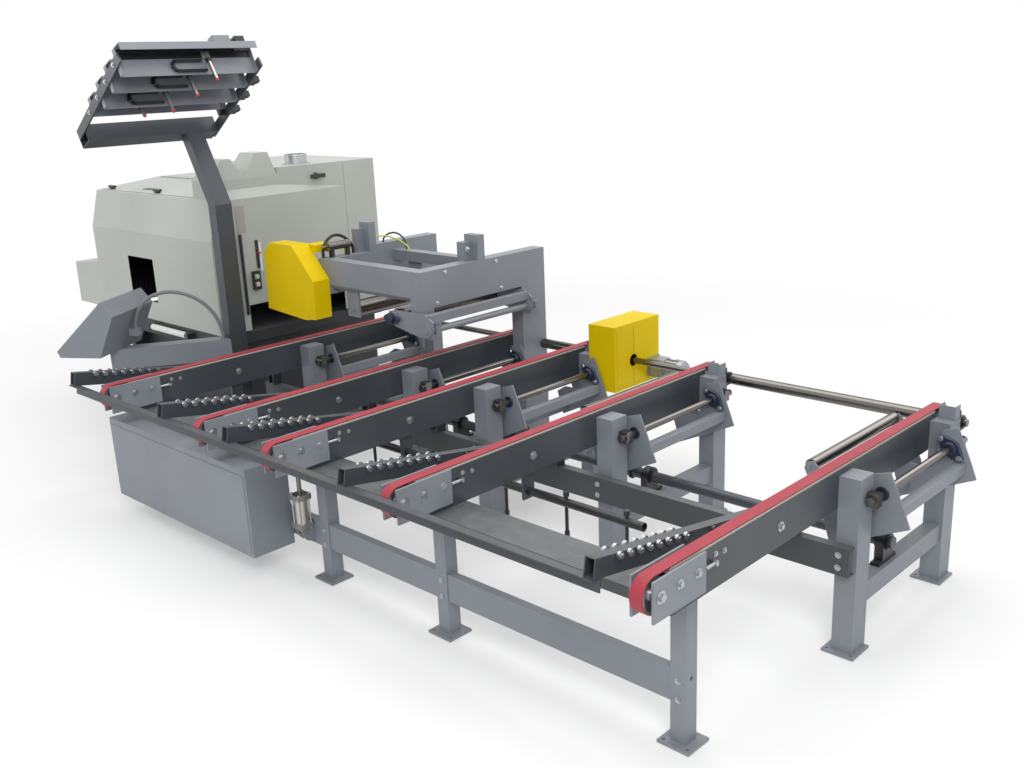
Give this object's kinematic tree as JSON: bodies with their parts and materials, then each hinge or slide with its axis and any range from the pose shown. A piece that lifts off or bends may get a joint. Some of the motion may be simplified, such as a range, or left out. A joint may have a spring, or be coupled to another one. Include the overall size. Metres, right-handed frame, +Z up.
{
  "type": "rip saw",
  "caption": "Rip saw line: belt conveyors with pop-up rollers and load arms, hold-down frame, saw cabinet, sloped console and a mast with line lasers",
  "frame": {"origin": "on the floor below the middle of the bounding box", "axes": "+X along the boards, away from the saw; +Y from the front to the back, as the belts run; +Z up"},
  "size_m": [7.149, 2.8867, 2.8617],
  "materials": {
    "light_grey_paint": "satin",
    "light_grey_troughs": "satin",
    "channel_paint": "satin",
    "dark_grey_paint": "satin",
    "bed_plastic": "matt",
    "belt_red": "matt",
    "zinc_steel": "zinc plated",
    "bright_steel": "ground",
    "black_castings": "gloss",
    "guard_yellow": "gloss",
    "motor_silver": "cast",
    "cream_paint": "satin",
    "base_paint": "satin",
    "cylinder_aluminium": "anodised",
    "conduit_sheath": "matt",
    "laser_housing": "anodised",
    "button_green": "gloss",
    "button_red": "gloss"
  },
  "bodies": {
    "frame": {"front_frame": "light_grey_paint", "rear_posts": "light_grey_paint", "cross_channels": "channel_paint", "conveyor_beams": "dark_grey_paint", "slider_beds": "bed_plastic", "nose_plates": "light_grey_paint", "conveyor_belts": "belt_red", "frame_bolts": "zinc_steel", "pivot_shafts": "bright_steel", "pillow_blocks": "black_castings", "drive_cabinet": "light_grey_paint", "chain_guard": "guard_yellow", "gear_motor": "motor_silver", "hold_down_frame": "light_grey_paint", "feed_guard": "guard_yellow", "saw_cabinet": "cream_paint", "cabinet_base": "base_paint", "outfeed_box": "cream_paint", "dust_hoods": "cream_paint", "laser_mast": "dark_grey_paint", "laser_troughs": "light_grey_troughs", "console": "light_grey_paint", "console_arm": "light_grey_paint", "lift_cylinder": "cylinder_aluminium", "conduit": "conduit_sheath"},
    "load_arms": {"load_arms": "dark_grey_paint", "arm_wheels": "zinc_steel"},
    "cylinder_rod": {"cylinder_rod": "bright_steel"},
    "stop_bar": {"stop_bar": "black_castings"},
    "lift_shaft": {"lift_shaft": "dark_grey_paint"},
    "drive_shaft": {"drive_shaft": "bright_steel", "head_pulleys": "zinc_steel"},
    "press_lever": {"press_lever": "light_grey_paint"},
    "press_roll": {"press_roll": "bright_steel"},
    "feed_roll": {"feed_roll": "bright_steel"},
    "saw_arbor": {"saw_arbor": "bright_steel"},
    "top_lid": {"top_lid": "cream_paint"},
    "green_button": {"green_button": "button_green"},
    "red_button": {"red_button": "button_red"},
    "emergency_stop": {"emergency_stop": "button_red"},
    "lane_lever_1": {"lane_lever_1": "light_grey_paint"},
    "lane_lever_2": {"lane_lever_2": "light_grey_paint"},
    "lane_lever_3": {"lane_lever_3": "light_grey_paint"},
    "lane_lever_4": {"lane_lever_4": "light_grey_paint"},
    "lane_lever_5": {"lane_lever_5": "light_grey_paint"},
    "lane_roller_1": {"lane_roller_1": "bright_steel"},
    "lane_roller_2": {"lane_roller_2": "bright_steel"},
    "lane_roller_3": {"lane_roller_3": "bright_steel"},
    "lane_roller_4": {"lane_roller_4": "bright_steel"},
    "lane_roller_5": {"lane_roller_5": "bright_steel"},
    "nose_pulley_1": {"nose_pulley_1": "zinc_steel"},
    "nose_pulley_2": {"nose_pulley_2": "zinc_steel"},
    "nose_pulley_3": {"nose_pulley_3": "zinc_steel"},
    "nose_pulley_4": {"nose_pulley_4": "zinc_steel"},
    "nose_pulley_5": {"nose_pulley_5": "zinc_steel"},
    "laser_1": {"laser_1": "laser_housing"},
    "laser_2": {"laser_2": "laser_housing"},
    "laser_3": {"laser_3": "laser_housing"},
    "laser_4": {"laser_4": "laser_housing"}
  },
  "joints": [
    {"name": "load_arms_tilt", "type": "hinge", "parent": "frame", "child": "load_arms", "pos_m": [1.3055, -0.00916, 0.67], "axis": [1, 0, 0], "range_deg": [0, 2.5]},
    {"name": "cylinder_stroke", "type": "slide", "parent": "frame", "child": "cylinder_rod", "axis": [0, 0, -1], "range_m": [0, 0.0463]},
    {"name": "stop_bar_rock", "type": "hinge", "parent": "frame", "child": "stop_bar", "pos_m": [1.3055, -0.46916, 0.6], "axis": [1, 0, 0], "range_deg": [-30, 30]},
    {"name": "lift_shaft_turn", "type": "hinge", "parent": "frame", "child": "lift_shaft", "pos_m": [1.3055, 0.43084, 0.42], "axis": [1, 0, 0], "range_deg": [0, 35]},
    {"name": "lane_lever_1_raise", "type": "hinge", "parent": "frame", "child": "lane_lever_1", "pos_m": [3.4405, 0.55084, 0.755], "axis": [0, 1, 0], "range_deg": [0, 16]},
    {"name": "lane_roller_1_spin", "type": "hinge", "parent": "lane_lever_1", "child": "lane_roller_1", "pos_m": [3.0805, 0.55084, 0.802], "axis": [0, 1, 0], "continuous": true},
    {"name": "lane_lever_2_raise", "type": "hinge", "parent": "frame", "child": "lane_lever_2", "pos_m": [2.0655, 0.55084, 0.755], "axis": [0, 1, 0], "range_deg": [0, 16]},
    {"name": "lane_roller_2_spin", "type": "hinge", "parent": "lane_lever_2", "child": "lane_roller_2", "pos_m": [1.7055, 0.55084, 0.802], "axis": [0, 1, 0], "continuous": true},
    {"name": "lane_lever_3_raise", "type": "hinge", "parent": "frame", "child": "lane_lever_3", "pos_m": [1.1375, 0.55084, 0.755], "axis": [0, 1, 0], "range_deg": [0, 16]},
    {"name": "lane_roller_3_spin", "type": "hinge", "parent": "lane_lever_3", "child": "lane_roller_3", "pos_m": [0.7775, 0.55084, 0.802], "axis": [0, 1, 0], "continuous": true},
    {"name": "lane_lever_4_raise", "type": "hinge", "parent": "frame", "child": "lane_lever_4", "pos_m": [0.4975, 0.55084, 0.755], "axis": [0, 1, 0], "range_deg": [0, 16]},
    {"name": "lane_roller_4_spin", "type": "hinge", "parent": "lane_lever_4", "child": "lane_roller_4", "pos_m": [0.1375, 0.55084, 0.802], "axis": [0, 1, 0], "continuous": true},
    {"name": "lane_lever_5_raise", "type": "hinge", "parent": "frame", "child": "lane_lever_5", "pos_m": [-0.5785, 0.55084, 0.755], "axis": [0, 1, 0], "range_deg": [0, 16]},
    {"name": "lane_roller_5_spin", "type": "hinge", "parent": "lane_lever_5", "child": "lane_roller_5", "pos_m": [-0.9385, 0.55084, 0.802], "axis": [0, 1, 0], "continuous": true},
    {"name": "drive_shaft_spin", "type": "hinge", "parent": "frame", "child": "drive_shaft", "pos_m": [1.3055, 1.15084, 0.825], "axis": [1, 0, 0], "continuous": true},
    {"name": "nose_pulley_1_spin", "type": "hinge", "parent": "frame", "child": "nose_pulley_1", "pos_m": [3.277, -1.30916, 0.825], "axis": [1, 0, 0], "continuous": true},
    {"name": "nose_pulley_2_spin", "type": "hinge", "parent": "frame", "child": "nose_pulley_2", "pos_m": [1.902, -1.30916, 0.825], "axis": [1, 0, 0], "continuous": true},
    {"name": "nose_pulley_3_spin", "type": "hinge", "parent": "frame", "child": "nose_pulley_3", "pos_m": [0.974, -1.30916, 0.825], "axis": [1, 0, 0], "continuous": true},
    {"name": "nose_pulley_4_spin", "type": "hinge", "parent": "frame", "child": "nose_pulley_4", "pos_m": [0.334, -1.30916, 0.825], "axis": [1, 0, 0], "continuous": true},
    {"name": "nose_pulley_5_spin", "type": "hinge", "parent": "frame", "child": "nose_pulley_5", "pos_m": [-0.742, -1.30916, 0.825], "axis": [1, 0, 0], "continuous": true},
    {"name": "press_lever_lower", "type": "hinge", "parent": "frame", "child": "press_lever", "pos_m": [0.6155, 0.50084, 1.135], "axis": [0, -1, 0], "range_deg": [0, 20]},
    {"name": "press_roll_spin", "type": "hinge", "parent": "press_lever", "child": "press_roll", "pos_m": [0.3055, 0.50084, 1.18], "axis": [0, 1, 0], "continuous": true},
    {"name": "feed_roll_spin", "type": "hinge", "parent": "frame", "child": "feed_roll", "pos_m": [-0.1745, 0.40084, 1.165], "axis": [0, 1, 0], "continuous": true},
    {"name": "laser_1_travel", "type": "slide", "parent": "frame", "child": "laser_1", "axis": [0, 1, 0], "range_m": [-0.25, 0.25]},
    {"name": "laser_2_travel", "type": "slide", "parent": "frame", "child": "laser_2", "axis": [0, 1, 0], "range_m": [-0.25, 0.25]},
    {"name": "laser_3_travel", "type": "slide", "parent": "frame", "child": "laser_3", "axis": [0, 1, 0], "range_m": [-0.25, 0.25]},
    {"name": "laser_4_travel", "type": "slide", "parent": "frame", "child": "laser_4", "axis": [0, 1, 0], "range_m": [-0.25, 0.25]},
    {"name": "saw_arbor_spin", "type": "hinge", "parent": "frame", "child": "saw_arbor", "pos_m": [-2.1945, 0.50084, 1.29], "axis": [0, 1, 0], "continuous": true},
    {"name": "top_lid_open", "type": "hinge", "parent": "frame", "child": "top_lid", "pos_m": [-2.3945, 0.42244, 1.8902], "axis": [-1, 0, 0], "range_deg": [0, 80]},
    {"name": "green_button_press", "type": "slide", "parent": "frame", "child": "green_button", "axis": [-1, 0, 0], "range_m": [0, 0.004], "stiffness_N_per_m": 500, "springref_m": -0.002},
    {"name": "red_button_press", "type": "slide", "parent": "frame", "child": "red_button", "axis": [-1, 0, 0], "range_m": [0, 0.004], "stiffness_N_per_m": 500, "springref_m": -0.002},
    {"name": "emergency_stop_press", "type": "slide", "parent": "frame", "child": "emergency_stop", "axis": [0.5695, 0.3559, -0.741], "range_m": [0, 0.006], "stiffness_N_per_m": 900, "springref_m": -0.002}
  ],
  "couplings": [
    {"joint": "cylinder_stroke", "follows": "load_arms_tilt", "m_per_rad": 1.061},
    {"joint": "lane_lever_1_raise", "follows": "lift_shaft_turn", "ratio": 0.457},
    {"joint": "lane_lever_2_raise", "follows": "lift_shaft_turn", "ratio": 0.457},
    {"joint": "lane_lever_3_raise", "follows": "lift_shaft_turn", "ratio": 0.457},
    {"joint": "lane_lever_4_raise", "follows": "lift_shaft_turn", "ratio": 0.457},
    {"joint": "lane_lever_5_raise", "follows": "lift_shaft_turn", "ratio": 0.457},
    {"joint": "nose_pulley_1_spin", "follows": "drive_shaft_spin", "ratio": 1},
    {"joint": "nose_pulley_2_spin", "follows": "drive_shaft_spin", "ratio": 1},
    {"joint": "nose_pulley_3_spin", "follows": "drive_shaft_spin", "ratio": 1},
    {"joint": "nose_pulley_4_spin", "follows": "drive_shaft_spin", "ratio": 1},
    {"joint": "nose_pulley_5_spin", "follows": "drive_shaft_spin", "ratio": 1}
  ]
}
